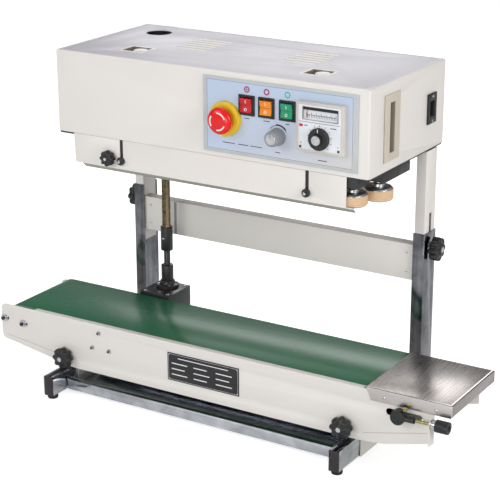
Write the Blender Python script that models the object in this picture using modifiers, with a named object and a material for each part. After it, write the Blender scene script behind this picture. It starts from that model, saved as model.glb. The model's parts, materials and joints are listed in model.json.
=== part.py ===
"""Continuous band sealer for upright bags: a sealing head on two telescoping columns above a belt conveyor.

+X runs along the conveyor, +Y towards the back, +Z up. The origin is on the floor, under the middle of the
machine. Sizes are in millimetres and MM turns them into metres.
"""
import math

import bmesh
import bpy
from mathutils import Matrix, Vector

MM = 0.001
SHIFT_Y = -9.25         # moves the model so that the origin is under the middle of its depth
GAP = 0.3               # clearance between pieces that touch

# Base frame
COLUMN_X = (-294.0, 248.0)      # left and right centre planes of the columns and arms
COLUMN_Y = (117.0, 158.0)
COLUMN_W, COLUMN_WALL = 20.0, 1.2
COLUMN_TOP = 307.0
CUTOUT_Z = 204.0                # the columns are open on their inner side above this height
STUD_Y, STUD_Z = 140.0, 279.0   # axis of the column clamp knobs
ARM_W, ARM_WALL, ARM_Z = 17.0, 1.8, (7.0, 41.0)
ARM_Y = (-158.0, -30.0)
SLEEVE_Y, SLEEVE_WALL = (-88.0, 162.0), 1.7

# Head
HEAD = (-310.5, 256.8, -80.0, 176.5, 446.0, 580.0)
SHEET = 1.5
VENT_X, VENT_Y = (-156.0, 44.0), (37.0, 52.0, 67.0, 82.0, 97.0, 112.0)   # louvre slots of the cover
LATCH_X = (-197.0, 136.0)       # finger latches of the cover
BEAM_Z = (225.4, 285.6)
PLATE_Z = (442.5, 445.7)

# Conveyor
PLATE_FRONT, PLATE_REAR = -118.0, 48.5      # outer face of the front plate, inner face of the rear plate
PLATE_T = 2.0
CONV_X = (-421.0, 392.0)
BELT_Y = (-105.5, 46.5)
BELT_T, ROLLER_R = 2.0, 23.2
ROLLER_X = (-392.0, 339.0)
AXLE_Z = 107.5
DRIVE_Z = 103.0
KNOB_X, KNOB_Z = (-284.4, 243.8), 66.9
TRAY = (280.0, 421.0, -119.6, 36.0, 120.0, 139.5)
SCREW_Y = -126.5

# Upright drive shaft and sealing bands
SHAFT = (-222.0, 95.0)
WHEEL_R, BAND_T, BAND_Z = 22.0, 0.6, (398.0, 413.0)
BAND_R = WHEEL_R + GAP + BAND_T
PINCH_Y = -29.5
FRONT_WHEELS, REAR_WHEELS = (-91.0, 217.0), (-72.0, 236.0)
FRONT_WHEEL_Y, REAR_WHEEL_Y = PINCH_Y - 0.5 - BAND_R, PINCH_Y + 0.5 + BAND_R
RAIL_Z = (427.0, 442.2)
GUARD_POSTS, POST_Z = (-186.0, 153.6), 411.5

# Controls on the front of the head
ESTOP = (13.5, 507.8)
ROCKERS = {"power": (50.5, "red_plastic"), "heater": (85.0, "amber_plastic"), "fan": (121.0, "green_plastic")}
ROCKER_Z = 533.0

PAINTS = {
    "cream_paint": ((0.76, 0.74, 0.70), 0.45, 0.0), "chrome": ((0.62, 0.63, 0.66), 0.15, 1.0),
    "stainless": ((0.55, 0.54, 0.53), 0.32, 1.0), "black_steel": ((0.03, 0.03, 0.035), 0.5, 0.3),
    "black_plastic": ((0.025, 0.025, 0.03), 0.45, 0.0), "rubber": ((0.02, 0.02, 0.02), 0.8, 0.0),
    "green_belt": ((0.05, 0.27, 0.15), 0.5, 0.0), "zinc_yellow": ((0.55, 0.45, 0.20), 0.35, 1.0),
    "ptfe_band": ((0.72, 0.48, 0.29), 0.5, 0.0), "aluminium": ((0.60, 0.60, 0.60), 0.4, 1.0),
    "copper": ((0.65, 0.33, 0.20), 0.35, 1.0), "blue_overlay": ((0.50, 0.64, 0.75), 0.5, 0.0),
    "red_plastic": ((0.75, 0.02, 0.02), 0.35, 0.0),
    "amber_plastic": ((0.90, 0.42, 0.03), 0.3, 0.0), "green_plastic": ((0.02, 0.38, 0.20), 0.3, 0.0),
    "grey_plastic": ((0.50, 0.50, 0.50), 0.4, 0.0), "ivory_plastic": ((0.66, 0.64, 0.58), 0.4, 0.0),
}


def new_collection(name):
    collection = bpy.data.collections.new(name)
    bpy.context.scene.collection.children.link(collection)
    return collection


def material(name):
    found = bpy.data.materials.get(name)
    if found:
        return found
    colour, roughness, metallic = PAINTS[name]
    made = bpy.data.materials.new(name)
    made.use_nodes = True
    shader = made.node_tree.nodes["Principled BSDF"]
    shader.inputs["Base Color"].default_value = (*colour, 1.0)
    shader.inputs["Roughness"].default_value = roughness
    shader.inputs["Metallic"].default_value = metallic
    return made


def add(name, mesh, paint=None):
    """Links a mesh as a part when it has a paint, and as a hidden cutter or tool when it has none."""
    obj = bpy.data.objects.new(name, mesh)
    if paint:
        parts.objects.link(obj)
        mesh.materials.append(material(paint))
    else:
        cutters.objects.link(obj)
        obj.hide_render = True
        obj.display_type = "WIRE"
    obj.location = (0.0, SHIFT_Y * MM, 0.0)
    return obj


def mesh_from(bm, name, at):
    """Puts the bmesh's vertices, which are in millimetres round the origin, at a place in metres."""
    bmesh.ops.transform(bm, matrix=Matrix.Scale(MM, 4) @ at, verts=bm.verts)
    mesh = bpy.data.meshes.new(name)
    bm.to_mesh(mesh)
    bm.free()
    return mesh


def box(name, x0, x1, y0, y1, z0, z1, paint=None):
    bm = bmesh.new()
    bmesh.ops.create_cube(bm, size=1.0)
    bmesh.ops.scale(bm, vec=(x1 - x0, y1 - y0, z1 - z0), verts=bm.verts)
    centre = Matrix.Translation(((x0 + x1) / 2, (y0 + y1) / 2, (z0 + z1) / 2))
    return add(name, mesh_from(bm, name, centre), paint)


def along(axis):
    """Turns local +Z to point along a named axis."""
    directions = {"x": (1, 0, 0), "-x": (-1, 0, 0), "y": (0, 1, 0), "-y": (0, -1, 0), "z": (0, 0, 1)}
    return Vector(directions[axis]).to_track_quat("Z", "Y").to_matrix().to_4x4()


def rod(name, centre, axis, radius, length, paint=None, sides=32, lobes=0, lobe_depth=0.0):
    """A cylinder that starts at centre and runs along axis. Lobes make the grip of a star knob."""
    bm = bmesh.new()
    bmesh.ops.create_cone(bm, cap_ends=True, segments=sides, radius1=radius, radius2=radius, depth=length)
    for v in bm.verts:
        angle = math.atan2(v.co.y, v.co.x)
        v.co.xy *= 1.0 - lobe_depth * 0.5 * (1.0 - math.cos(lobes * angle)) if lobes else 1.0
        v.co.z += length / 2
    return add(name, mesh_from(bm, name, Matrix.Translation(centre) @ along(axis)), paint)


def turned(name, centre, axis, profile, paint, sides=32):
    """A body turned about its axis. The profile lists (radius, height) down the outer side, top to bottom."""
    bm = bmesh.new()
    last = None
    for radius, height in [(0.0, profile[0][1])] + profile + [(0.0, profile[-1][1])]:
        vertex = bm.verts.new((radius * MM, 0.0, height * MM))
        if last:
            bm.edges.new((last, vertex))
        last = vertex
    mesh = bpy.data.meshes.new(name)
    bm.to_mesh(mesh)
    bm.free()
    obj = add(name, mesh, paint)
    place = Matrix.Translation(Vector((centre[0], centre[1] + SHIFT_Y, centre[2])) * MM)
    obj.matrix_world = place @ along(axis)
    screw = obj.modifiers.new("turn", "SCREW")
    screw.steps = screw.render_steps = sides
    screw.use_merge_vertices = True
    screw.merge_threshold = 0.00001
    return obj


def racetrack(x0, x1, z, radius, steps=14):
    """Points round a belt path: two half circles joined by straight runs, as (x, z)."""
    points = []
    for centre, start in ((x1, -90.0), (x0, 90.0)):
        for i in range(steps + 1):
            angle = math.radians(start + 180.0 * i / steps)
            points.append((centre + radius * math.cos(angle), z + radius * math.sin(angle)))
    return points


def outline(name, points, plane, low, high, paint=None, holes=()):
    """A flat outline with holes, filled and extruded from low to high across its plane."""
    curve = bpy.data.curves.new(name, "CURVE")
    curve.dimensions = "2D"
    curve.fill_mode = "BOTH"
    curve.extrude = (high - low) / 2 * MM
    for ring in (points, *holes):
        spline = curve.splines.new("POLY")
        spline.points.add(len(ring) - 1)
        for point, (a, b) in zip(spline.points, ring):
            point.co = (a * MM, b * MM, 0.0, 1.0)
        spline.use_cyclic_u = True
    shape = bpy.data.objects.new(name, curve)
    bpy.context.scene.collection.objects.link(shape)
    evaluated = shape.evaluated_get(bpy.context.evaluated_depsgraph_get())
    mesh = bpy.data.meshes.new_from_object(evaluated)
    bpy.data.objects.remove(shape)
    middle = (low + high) / 2 * MM
    turns = {
        "xy": Matrix.Translation((0, 0, middle)),
        "xz": Matrix.Translation((0, middle, 0)) @ Matrix.Rotation(math.pi / 2, 4, "X"),
        "yz": Matrix.Translation((middle, 0, 0)) @ Matrix.Rotation(math.pi / 2, 4, "Z")
        @ Matrix.Rotation(math.pi / 2, 4, "X"),
    }
    bm = bmesh.new()
    bm.from_mesh(mesh)
    bmesh.ops.remove_doubles(bm, verts=bm.verts, dist=0.000001)
    bmesh.ops.transform(bm, matrix=turns[plane], verts=bm.verts)
    bmesh.ops.recalc_face_normals(bm, faces=bm.faces)
    bm.to_mesh(mesh)
    bm.free()
    mesh.name = name
    return add(name, mesh, paint)


def combine(obj, others, operation):
    for other in others:
        boolean = obj.modifiers.new(operation.lower(), "BOOLEAN")
        boolean.object = other
        boolean.operation = operation
    return obj


def cut(obj, *others):
    return combine(obj, others, "DIFFERENCE")


def join(obj, *others):
    return combine(obj, others, "UNION")


def circle(x, z, radius, count=16):
    return [(x + radius * math.cos(2 * math.pi * i / count), z + radius * math.sin(2 * math.pi * i / count))
            for i in range(count)]


def rectangle(x0, x1, z0, z1):
    return [(x0, z0), (x1, z0), (x1, z1), (x0, z1)]


def slot(x0, x1, z, half, steps=6):
    return racetrack(x0 + half, x1 - half, z, half, steps)


def tube(name, x, y, z, wall, paint, ends="z"):
    """A square tube. Its wall is left open at both ends of the named axis."""
    obj = box(name, *x, *y, *z, paint)
    reach = [[x[0] + wall, x[1] - wall], [y[0] + wall, y[1] - wall], [z[0] + wall, z[1] - wall]]
    spot = "xyz".index(ends)
    reach[spot] = [(x, y, z)[spot][0] - 5, (x, y, z)[spot][1] + 5]
    return cut(obj, box(name + "_bore", *reach[0], *reach[1], *reach[2]))


def star_knob(name, centre, axis, radius, height, stud_r, stud_length, paint="black_plastic"):
    """A lobed grip with a raised cap, and a stud that runs back from it. Centre is the grip's back face."""
    grip = rod(name, centre, axis, radius, height, paint, sides=48, lobes=8, lobe_depth=0.16)
    way = along(axis) @ Vector((0, 0, 1))
    cap = rod(name + "_cap", Vector(centre) + way * (height - 1), axis, radius * 0.5, 4.0, sides=24)
    stud = rod(name + "_stud", Vector(centre) - way * stud_length, axis, stud_r, stud_length + 2, sides=16)
    return join(grip, cap, stud)


def build_base():
    grow = GAP + SLEEVE_WALL
    z0, z1 = ARM_Z
    for side, x, outer in (("left", COLUMN_X[0], -1), ("right", COLUMN_X[1], 1)):
        half, wall = ARM_W / 2, ARM_WALL
        arm = box("arm_" + side, x - half, x + half, *ARM_Y, z0, z1, "chrome")
        cut(arm, box(side + "_arm_bore", x - half + wall, x + half - wall, ARM_Y[0] + 3, ARM_Y[1] + 5, z0 + wall,
                     z1 - wall),
            box(side + "_arm_slot", x - 3.5, x + 3.5, ARM_Y[0] + 3, ARM_Y[1] + 5, z1 - wall - 2, z1 + 5))
        tube("arm_sleeve_" + side, (x - half - grow, x + half + grow), SLEEVE_Y, (z0 - grow, z1 + grow),
             SLEEVE_WALL, "cream_paint", "y")
        for end, y, top in (("front", -146.0, z0 - GAP), ("rear", 148.0, z0 - grow - GAP)):
            turned(f"foot_{end}_{side}", (x, y, 0.0), "z", [(9.0, top), (9.0, 1.2), (8.2, 0.0)], "rubber", 20)
        y0, y1 = COLUMN_Y
        column = tube("column_" + side, (x - COLUMN_W / 2, x + COLUMN_W / 2), (y0, y1),
                      (z1 + grow + GAP, COLUMN_TOP), COLUMN_WALL, "chrome")
        inner_x = sorted((x - outer * 5.0, x - outer * (COLUMN_W / 2 + 2)))
        cut(column, box(side + "_cutout", *inner_x, y0 + 2, y1 - 2, CUTOUT_Z, COLUMN_TOP + 5),
            rod(side + "_stud_hole", (x, STUD_Y, STUD_Z), "x" if outer > 0 else "-x", 4.4, 30, sides=20))
    left, right = COLUMN_X[0] + ARM_W / 2 + grow + GAP, COLUMN_X[1] - ARM_W / 2 - grow - GAP
    tray = box("cross_channel", left, right, -118.0, -30.0, z0, 25.0, "chrome")
    cut(tray, box("channel_hollow", left - 5, right + 5, -116.2, -31.8, z0 + 1.8, 23.2),
        box("channel_mouth", left - 5, right + 5, -106.0, -42.0, 20.0, 30.0))
    for side, x, knob_x in (("left", COLUMN_X[0], KNOB_X[0]), ("right", COLUMN_X[1], KNOB_X[1])):
        rear = PLATE_FRONT + PLATE_T + GAP
        foot = box("bracket_" + side, x - 8, x + 8, rear, rear + 18, z1 + GAP, z1 + 3.0, "black_steel")
        low, high = min(x - 8, knob_x - 9), max(x + 8, knob_x + 9)
        join(foot, box(side + "_upright", low, high, rear, rear + 3, z1 + GAP, KNOB_Z + 9))
        cut(foot, rod(side + "_knob_hole", (knob_x, rear - 5, KNOB_Z), "y", 4.0, 20, sides=20))


def plate_outline(top):
    """Side plate of the conveyor, seen from the front, with eased corners."""
    left, right = CONV_X
    return [(left + 2.5, top - 2.5), (left, top - 8), (left, 82), (left + 2, 76), (left + 6, 73), (-304, 55),
            (-292, 51.8), (-280, 50), (-262, 49), (265, 49), (290, 50.5), (312, 53), (right, 72.5), (right, 112),
            (right, top - 3), (right - 3, top), (left + 8, top)]


def build_conveyor():
    slot_hole = slot(313.5, 374.5, AXLE_Z, 5.6)
    front = outline("conveyor_plate_front", plate_outline(136.0), "xz", PLATE_FRONT, PLATE_FRONT + PLATE_T,
                    "cream_paint", [slot_hole] + [circle(x, KNOB_Z, 4.3) for x in KNOB_X])
    join(front, box("front_flange", -350.0, 276.0, PLATE_FRONT + 1, PLATE_FRONT + 10, 134.2, 136.0),
         box("front_end_flange", CONV_X[1] - 2, CONV_X[1], PLATE_FRONT - 14, PLATE_FRONT + 1, 73.5, 112.0))
    cut(front, rod("flange_hole", (CONV_X[1] - 10, SCREW_Y, AXLE_Z), "x", 2.9, 20, sides=16))
    outline("conveyor_plate_rear", plate_outline(128.0), "xz", PLATE_REAR, PLATE_REAR + PLATE_T, "cream_paint",
            [slot_hole, circle(SHAFT[0], DRIVE_Z, 6.6)])
    inner_y = (PLATE_FRONT + PLATE_T + GAP, PLATE_REAR - GAP)
    top = AXLE_Z + ROLLER_R
    box("slider_bed", -362.0, 311.0, *inner_y, top - 3.5, top - GAP, "stainless")
    outer = racetrack(*ROLLER_X, AXLE_Z, ROLLER_R + GAP + BELT_T)
    inner = racetrack(*ROLLER_X, AXLE_Z, ROLLER_R + GAP)
    outline("conveyor_belt", outer, "xz", *BELT_Y, "green_belt", [inner])
    length = BELT_Y[1] - BELT_Y[0]
    turned("roller_left", (ROLLER_X[0], BELT_Y[0], AXLE_Z), "y",
           [(5, inner_y[1] - BELT_Y[0]), (5, length), (ROLLER_R, length), (ROLLER_R, 0), (5, 0),
            (5, inner_y[0] - BELT_Y[0])], "stainless")
    turned("roller_right", (ROLLER_X[1], BELT_Y[0], AXLE_Z), "y",
           [(5, length + 7), (5, length), (ROLLER_R, length), (ROLLER_R, 0), (5, 0), (5, -23)], "stainless")
    block = rod("takeup_block", (ROLLER_X[1], -133.0, AXLE_Z), "y", 11.5, 13.0, "black_plastic", 24)
    join(block, rod("takeup_neck", (ROLLER_X[1] + 8, SCREW_Y, AXLE_Z), "x", 5.3, 18, sides=16))
    cut(block, rod("axle_bore", (ROLLER_X[1], -129.0, AXLE_Z), "y", 5.2, 18, sides=24),
        rod("screw_bore", (ROLLER_X[1] + 12, SCREW_Y, AXLE_Z), "x", 2.8, 20, sides=16))
    screw = rod("tension_screw", (ROLLER_X[1] + 14, SCREW_Y, AXLE_Z), "x", 2.5, 64, "zinc_yellow", 16)
    join(screw, rod("thumb_nut", (CONV_X[1] + 1.0, SCREW_Y, AXLE_Z), "x", 7.5, 9, sides=24),
         rod("thumb_grip", (CONV_X[1] + 8.0, SCREW_Y, AXLE_Z), "x", 9.5, 20, sides=32))
    drive_r = DRIVE_Z - (AXLE_Z - ROLLER_R - GAP) - GAP
    turned("drive_roller", (SHAFT[0], BELT_Y[0], DRIVE_Z), "y",
           [(6.2, length + 24), (6.2, length), (drive_r, length), (drive_r, 0), (5, 0),
            (5, inner_y[0] - BELT_Y[0])], "rubber")
    x0, x1, y0, y1, z0, z1 = TRAY
    tray = outline("side_tray", [(x0, z1), (x0 + 9, z0), (x1 - 2, z0), (x1, z0 + 2), (x1, z1)], "xz", y0, y1,
                   "stainless")
    cut(tray, box("tray_hollow", x0 - 5, x1 - 1.3, y0 + 1.3, y1 + 5, z0 - 5, z1 - 1.3))
    for side, x in (("left", KNOB_X[0]), ("right", KNOB_X[1])):
        star_knob("conveyor_knob_" + side, (x, PLATE_FRONT - 3.0, KNOB_Z), "-y", 18.0, 14.0, 3.7, 12.0)


def build_drive():
    x, y = SHAFT
    shell = box("gearbox_housing", -250.0, -190.0, PLATE_REAR + PLATE_T + GAP, 118.0, 86.0, 137.0, "black_steel")
    cut(shell, rod("gearbox_top_bore", (x, y, 110.0), "z", 7.3, 40, sides=24),
        rod("gearbox_front_bore", (x, 40.0, DRIVE_Z), "y", 6.6, 42, sides=24))
    turned("lower_shaft", (x, y, 0.0), "z",
           [(5.5, 330), (5.5, 178), (10.5, 177), (10.5, 137.4), (7.0, 137.4), (7.0, 111)], "black_steel", 24)
    tube_body = turned("upper_shaft", (x, y, 0.0), "z", [(8.0, 455), (8.0, 246.8)], "zinc_yellow", 6)
    join(tube_body, rod("shaft_collar", (x, y, 205.0), "z", 10.5, 42.0, sides=24))
    cut(tube_body, rod("shaft_bore", (x, y, 200.0), "z", 6.0, 165.0, sides=24))


def build_lift():
    hx0, hx1, hy0, hy1, hz0, hz1 = HEAD
    play = COLUMN_WALL + GAP
    half = COLUMN_W / 2 - play
    for side, x, outer in (("left", COLUMN_X[0], -1), ("right", COLUMN_X[1], 1)):
        post = tube("inner_column_" + side, (x - half, x + half), (COLUMN_Y[0] + play, COLUMN_Y[1] - play),
                    (66.0, PLATE_Z[0] - GAP), 1.5, "cream_paint")
        span = sorted((x + outer * 4.0, x + outer * 20.0))
        cut(post, box(side + "_post_slot", *span, STUD_Y - 4.4, STUD_Y + 4.4, 120.0, 337.0))
    z0, z1 = BEAM_Z
    channel = [(121, z0), (141, z0), (141, z0 + 2), (123, z0 + 2), (123, z1 - 2), (141, z1 - 2), (141, z1),
               (121, z1)]
    outline("cross_beam", channel, "yz", COLUMN_X[0] + half + GAP, COLUMN_X[1] - half - GAP, "cream_paint")
    casing = box("head_casing", *HEAD, "cream_paint")
    cut(casing, box("casing_hollow", hx0 + SHEET, hx1 - SHEET, hy0 + SHEET, hy1 - SHEET, hz0 - 5, hz1 - 3.4),
        box("casing_opening", hx0 + 15, hx1 - 15, hy0 + 15, hy1 - 15, hz1 - 10, hz1 + 5),
        box("lid_recess", hx0 + 7, hx1 - 7, hy0 + 7, hy1 - 7, hz1 - 1.9, hz1 + 5),
        box("casing_handle", hx1 - 5, hx1 + 5, -21.5, 1.5, 469.0, 552.5),
        box("casing_inlet", hx1 - 5, hx1 + 5, 114.5, 137.5, 495.0, 527.0),
        rod("casing_estop", (ESTOP[0], hy0 - 5, ESTOP[1]), "y", 8.5, 10, sides=24),
        *[box("casing_" + name, x - 10.3, x + 10.3, hy0 - 5, hy0 + 5, ROCKER_Z - 12.5, ROCKER_Z + 12.5)
          for name, (x, _) in ROCKERS.items()])
    openings = [slot(x, x + 60.0, y, 3.2, 4) for x in VENT_X for y in VENT_Y]
    openings += [rectangle(x - 20.0, x + 20.0, -32.0, 4.0) for x in LATCH_X]
    openings.append(circle(-246.0, 119.0, 21.5, 28))
    edge = 7.0 + GAP
    outline("top_cover", rectangle(hx0 + edge, hx1 - edge, hy0 + edge, hy1 - edge), "xy", hz1 - 1.6, hz1 - 0.4,
            "cream_paint", openings)
    inset = SHEET + GAP
    plate = outline("base_plate", rectangle(hx0 + inset, hx1 - inset, hy0 + inset, hy1 - inset), "xy", *PLATE_Z,
                    "black_steel", [circle(*SHAFT, 9.5, 20)])
    for i, x in enumerate(GUARD_POSTS):
        join(plate, box(f"post_strap_{i}", x - 8, x + 8, -78.2, -76.3, POST_Z - 8, PLATE_Z[0] + 1),
             rod(f"post_stud_{i}", (x, -89.0, POST_Z), "y", 2.7, 12, sides=16),
             rod(f"post_nut_{i}", (x, -85.0, POST_Z), "y", 6.5, 4.6, sides=24))
    frame = box("handle_cup", hx1 + GAP, hx1 + 2.0, -35.0, 14.5, 460.0, 562.0, "ivory_plastic")
    join(frame, box("cup_body", hx1 - 16, hx1 + 1, -20.5, 0.5, 470.0, 551.5))
    cut(frame, box("cup_mouth", hx1 - 14, hx1 + 5, -18.0, -2.0, 472.5, 549.0))
    inlet = box("mains_inlet", hx1 + GAP, hx1 + 3.0, 111.0, 141.0, 487.0, 535.0, "black_plastic")
    join(inlet, box("inlet_body", hx1 - 20, hx1 + 1, 115.5, 136.5, 496.0, 526.0))
    cut(inlet, box("inlet_socket", hx1 - 17, hx1 + 5, 118.0, 134.0, 499.0, 523.0))
    join(inlet, *[box(f"inlet_pin_{i}", hx1 - 18, hx1 - 3, y - 1, y + 1, z - 2.2, z + 2.2)
                  for i, (y, z) in enumerate(((122.5, 508.0), (129.5, 508.0), (126.0, 516.0)))])
    motor = box("drive_motor", -252.0, -192.0, 62.0, 128.0, 460.0, 520.0, "aluminium")
    join(motor, rod("motor_barrel", (-200.0, SHAFT[1], 492.0), "x", 29.0, 110.0, sides=32),
         *[box(f"motor_foot_{i}", x, x + 8, 64.0, 126.0, PLATE_Z[1] + GAP, 461.0)
           for i, x in enumerate((-252.0, -200.0))])


def build_panel():
    front = HEAD[2]
    face = front - 2.0
    panel = box("control_panel", -28.0, 239.0, face, front - GAP, 453.0, 571.0, "blue_overlay")
    join(panel, rod("estop_ring", (ESTOP[0], face - 7.0, ESTOP[1]), "y", 27.0, 7.5, sides=40),
         *[box("bezel_" + name, x - 13.7, x + 13.7, face - 3.0, face + 1, ROCKER_Z - 15.5, ROCKER_Z + 15.5)
           for name, (x, _) in ROCKERS.items()])
    cut(panel, rod("estop_bore", (ESTOP[0], face - 8, ESTOP[1]), "y", 8.4, 20, sides=24),
        *[box("window_" + name, x - 10.3, x + 10.3, face - 10, face + 10, ROCKER_Z - 12.5, ROCKER_Z + 12.5)
          for name, (x, _) in ROCKERS.items()])
    turned("estop_button", (ESTOP[0], face, ESTOP[1]), "-y",
           [(11, 26), (18, 24.5), (21, 20.5), (20.5, 15.5), (12, 12.4), (8, 11.8), (8, 1)], "red_plastic")
    for name, (x, paint) in ROCKERS.items():
        wedge = [(face + 1.0, ROCKER_Z - 11), (face - 5.4, ROCKER_Z - 11), (face - 3.2, ROCKER_Z),
                 (face - 6.6, ROCKER_Z + 11), (face + 1.0, ROCKER_Z + 11)]
        outline("rocker_" + name, wedge, "yz", x - 9.9, x + 9.9, paint)
    turned("speed_knob", (104.5, face, 491.5), "-y",
           [(11.0, 23), (11.8, 22), (12.6, 4), (14.0, 3), (14.0, GAP)], "grey_plastic", 36)
    meter = box("temperature_controller", 141.0, 220.0, face - 10.0, face - GAP, 478.0, 553.0, "ivory_plastic")
    cut(meter, box("meter_window", 153.0, 210.6, face - 15, face - 7, 527.0, 545.5))
    turned("temperature_knob", (181.0, face - 10.0, 500.5), "-y",
           [(9, 13), (9.4, 8), (16.4, 7), (17.0, GAP)], "black_plastic", 36)


def build_guard():
    front = HEAD[2]
    sheet = outline("front_guard", [(-280, 445.5), (-278, 397.5), (220, 397.5), (220, 445.5)], "xz", front,
                    front + 1.5, "cream_paint", [circle(-208.6, 414.3, 4.0)])
    lip = [(front, 399.0), (front, 397.5), (front + 8.0, 390.0), (front + 9.0, 391.2), (front + 1.5, 398.2),
           (front + 1.5, 399.0)]
    join(sheet, outline("guard_lip", lip, "yz", -264.0, 232.0))
    cut(sheet, *[box(f"guard_slot_{i}", x - 3.1, x + 3.1, front - 5, front + 5, POST_Z - 3.1, 450.0)
                 for i, x in enumerate(GUARD_POSTS)])
    star_knob("guard_knob", (-208.6, front - 2.0, 414.3), "-y", 13.0, 10.0, 3.5, 11.0)


def build_sealer():
    for group, ends, y in (("front", FRONT_WHEELS, FRONT_WHEEL_Y), ("rear", REAR_WHEELS, REAR_WHEEL_Y)):
        rail_x, rail_y = ((-115.0, 236.0), (-75.0, -35.0)) if group == "front" else ((-95.0, 255.0), (-24.0, 62.0))
        outline("rail_" + group, rectangle(*rail_x, *rail_y), "xy", *RAIL_Z, "black_steel",
                [circle(x, y, 4.4, 16) for x in ends])
        for side, x in zip(("left", "right"), ends):
            turned(f"band_wheel_{group}_{side}", (x, y, 0.0), "z",
                   [(4, 440), (4, 421), (9, 421), (9, 416), (WHEEL_R - 2, 416), (WHEEL_R, 413.5), (WHEEL_R, 397),
                    (WHEEL_R - 1, 396)], "aluminium", 36)
        outline("seal_band_" + group, racetrack(*ends, y, BAND_R, 12), "xy", *BAND_Z, "ptfe_band",
                [racetrack(*ends, y, WHEEL_R + GAP, 12)])
        way = -1.0 if group == "front" else 1.0
        block_y = sorted((PINCH_Y + way * 1.6, PINCH_Y + way * 17.0))
        box("heater_block_" + group, -30.0, 60.0, *block_y, 398.0, RAIL_Z[0] - GAP, "copper")


def build_column_knobs():
    for side, x, axis, sign in (("left", COLUMN_X[0], "-x", -1), ("right", COLUMN_X[1], "x", 1)):
        star_knob("column_knob_" + side, (x + sign * (COLUMN_W / 2 + 4.0), STUD_Y, STUD_Z), axis, 20.0, 15.0,
                  3.9, 10.0)


for old in list(bpy.data.objects):
    bpy.data.objects.remove(old)
parts = new_collection("band_sealer")
cutters = new_collection("cutters")
build_base()
build_conveyor()
build_drive()
build_lift()
build_panel()
build_guard()
build_sealer()
build_column_knobs()
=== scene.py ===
"""Finished surfaces and fittings of a continuous band sealer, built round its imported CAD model."""
import json
import math
from types import SimpleNamespace

import bmesh
import bpy
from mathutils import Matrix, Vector

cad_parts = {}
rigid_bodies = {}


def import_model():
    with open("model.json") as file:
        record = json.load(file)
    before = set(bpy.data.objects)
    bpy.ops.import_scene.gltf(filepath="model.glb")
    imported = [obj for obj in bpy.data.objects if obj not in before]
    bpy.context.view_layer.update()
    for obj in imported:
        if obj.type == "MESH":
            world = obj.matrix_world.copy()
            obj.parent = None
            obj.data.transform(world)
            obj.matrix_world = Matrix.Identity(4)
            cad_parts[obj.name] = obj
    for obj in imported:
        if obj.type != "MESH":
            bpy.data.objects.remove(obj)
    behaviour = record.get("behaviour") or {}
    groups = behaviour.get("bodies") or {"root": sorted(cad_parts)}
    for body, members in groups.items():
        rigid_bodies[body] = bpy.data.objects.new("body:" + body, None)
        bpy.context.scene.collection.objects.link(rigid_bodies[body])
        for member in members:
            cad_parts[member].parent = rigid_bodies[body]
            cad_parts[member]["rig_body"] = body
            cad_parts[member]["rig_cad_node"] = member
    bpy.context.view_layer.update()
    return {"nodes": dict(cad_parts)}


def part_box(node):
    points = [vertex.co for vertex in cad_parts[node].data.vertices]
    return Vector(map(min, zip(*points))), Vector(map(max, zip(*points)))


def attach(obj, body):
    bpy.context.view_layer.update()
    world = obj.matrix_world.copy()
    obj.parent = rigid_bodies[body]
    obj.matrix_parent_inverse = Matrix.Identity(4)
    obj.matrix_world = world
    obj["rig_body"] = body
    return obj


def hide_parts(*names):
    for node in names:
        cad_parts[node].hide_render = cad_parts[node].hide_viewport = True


bl_info = {
    "name": "Band Sealer",
    "version": (1, 0, 0),
    "blender": (4, 5, 0),
    "location": "View3D > Sidebar > Band Sealer",
    "description": "Builds the surfaces, fittings and studio of a continuous band sealer",
    "category": "Object",
}

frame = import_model()
MM = 0.001      # sizes below are in millimetres, except the stage's, and the modelling helpers turn them into metres
SIDES = ("left", "right")
VENT_X, VENT_Y, VENT_STEP = (-126.0, 74.0), 27.75, 15.0     # middles of the cover's two banks of six slots
LATCH_X = (-197.0, 136.0)                   # middles of the cover's finger latches
GUARD_POSTS, POST_Z = (-186.0, 153.6), 411.5        # the studs that the guard hangs on
TURNS = {
    "z": (0.0, 0.0, 0.0), "-z": (math.pi, 0.0, 0.0), "x": (0.0, math.pi / 2, 0.0), "-x": (0.0, -math.pi / 2, 0.0),
    "y": (-math.pi / 2, 0.0, 0.0), "-y": (math.pi / 2, 0.0, 0.0),
}


# ---------------------------------------------------------------- colours and sizes

def linear(hex_colour):
    """An sRGB hex colour as linear red, green and blue."""
    values = [int(hex_colour[i:i + 2], 16) / 255 for i in (1, 3, 5)]
    return tuple(v / 12.92 if v <= 0.04045 else ((v + 0.055) / 1.055) ** 2.4 for v in values)


def colour_property(name, description, hex_colour):
    return bpy.props.FloatVectorProperty(
        name=name, description=description, subtype="COLOR", size=3, min=0.0, max=1.0, default=linear(hex_colour))


class SealerColours(bpy.types.PropertyGroup):
    """The colours that a workshop would choose."""
    coat: colour_property("Powder coat", "Painted sheet of the head, plates and columns", "#E6E2DD")
    belt: colour_property("Belt", "Top cover of the conveyor belt", "#10643F")
    overlay: colour_property("Overlay", "Printed sheet on the control panel", "#BACBE3")
    band: colour_property("Sealing band", "Coated glass cloth of the bands", "#DCBB99")
    stop: colour_property("Stop button", "Mushroom head of the emergency stop", "#E30B0B")
    collar: colour_property("Stop collar", "Disc behind the emergency stop", "#E3C21F")


class SealerSizes(bpy.types.PropertyGroup):
    """The sizes that change the look and not the fit."""
    casing_edge: bpy.props.FloatProperty(
        name="Casing edge", description="Radius of the folded edges of the head", default=0.003, min=0.0005,
        unit="LENGTH")
    knob_lobes: bpy.props.IntProperty(
        name="Knob lobes", description="Lobes round a clamp knob", default=8, min=5, max=12)


# ---------------------------------------------------------------- materials

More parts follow.
